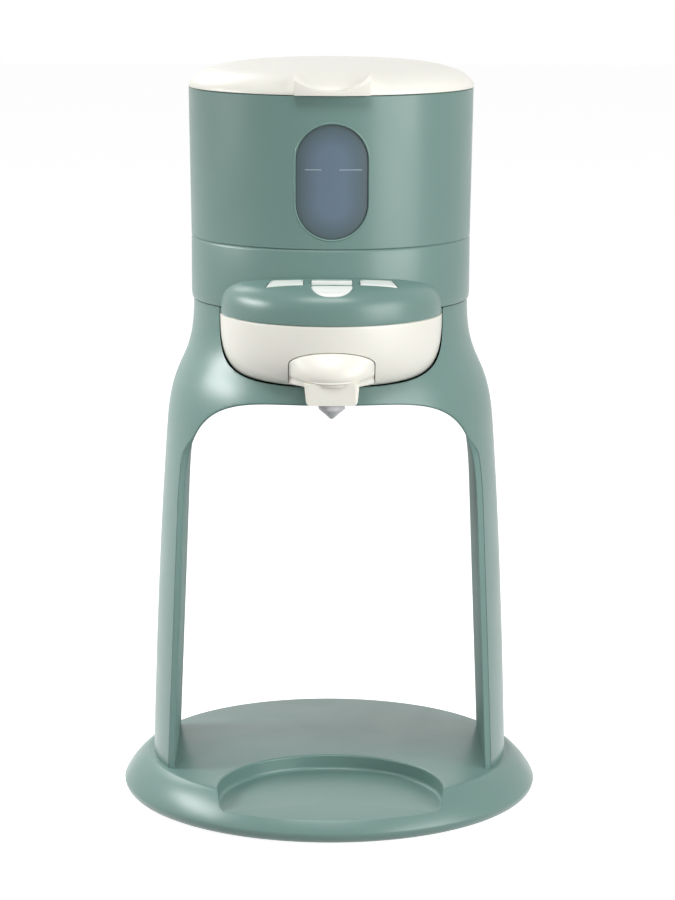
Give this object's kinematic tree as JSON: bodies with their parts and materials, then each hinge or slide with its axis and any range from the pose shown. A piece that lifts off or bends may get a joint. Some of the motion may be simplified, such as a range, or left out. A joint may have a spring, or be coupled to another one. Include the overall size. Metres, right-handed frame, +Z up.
{
  "type": "formula water warmer",
  "caption": "Water dispenser for baby formula: lidded tank and heater on an arch stand, keyed head with pull-out nozzle over a round base with a bottle recess.",
  "frame": {"origin": "middle of the base's underside, at the bottom of its feet", "axes": "+Z up, front with the head and the bottle recess towards -Y, +X to the right seen from the front"},
  "size_m": [0.206, 0.206, 0.3647],
  "materials": {
    "sage": "satin",
    "cream": "soft gloss",
    "key": "satin silver",
    "lens": "milky gloss",
    "window": "smoke tint",
    "nozzle": "satin",
    "inner": "plain",
    "silicone": "soft",
    "rubber": "matt",
    "steel": "plain",
    "board": "plain",
    "pump": "plain"
  },
  "bodies": {
    "lid": {"lid": "cream", "lid_liner": "cream", "lid_seal": "silicone"},
    "tank": {"tank_shell": "sage", "tank_window": "window", "tank_filter": "silicone", "valve_body": "inner", "valve_spring": "steel", "valve_seal": "rubber"},
    "plunger": {"valve_plunger": "inner"},
    "left_key": {"key_left": "key"},
    "centre_key": {"key_centre": "key"},
    "right_key": {"key_right": "key"},
    "nozzle": {"nozzle_block": "cream", "nozzle_tip": "nozzle"},
    "stand": {"housing_shell": "sage", "tank_seat": "inner", "chassis": "inner", "heater": "steel", "thermostat": "rubber", "temp_sensor": "steel", "pump_motor": "steel", "pump_head": "pump", "hose_inlet": "silicone", "hose_pump": "silicone", "hose_outlet": "silicone", "outlet_spigot": "inner", "spigot_seal": "rubber", "power_board": "board", "control_board": "board", "indicator_lens": "lens", "head_cover": "sage", "head_bowl": "cream", "frame_shell": "sage", "frame_liner": "sage", "cord_gland": "rubber", "base_top": "sage", "base_bottom": "sage", "base_feet": "rubber", "leg_screws": "steel", "base_screws": "steel", "head_screws": "steel"}
  },
  "joints": [
    {"name": "tank_lift", "type": "slide", "parent": "stand", "child": "tank", "axis": [0, 0, 1], "range_m": [0, 0.08]},
    {"name": "lid_lift", "type": "slide", "parent": "tank", "child": "lid", "axis": [0, 0, 1], "range_m": [0, 0.06]},
    {"name": "plunger_travel", "type": "slide", "parent": "tank", "child": "plunger", "axis": [0, 0, -1], "range_m": [0, 0.0024]},
    {"name": "key_left_press", "type": "slide", "parent": "stand", "child": "left_key", "axis": [0, 0, -1], "range_m": [0, 0.0008], "stiffness_N_per_m": 900},
    {"name": "key_centre_press", "type": "slide", "parent": "stand", "child": "centre_key", "axis": [0, 0, -1], "range_m": [0, 0.0008], "stiffness_N_per_m": 900},
    {"name": "key_right_press", "type": "slide", "parent": "stand", "child": "right_key", "axis": [0, 0, -1], "range_m": [0, 0.0008], "stiffness_N_per_m": 900},
    {"name": "nozzle_pull", "type": "slide", "parent": "stand", "child": "nozzle", "axis": [0, -1, 0], "range_m": [0, 0.03]}
  ],
  "couplings": [
    {"joint": "plunger_travel", "follows": "tank_lift", "ratio": 0.03}
  ]
}
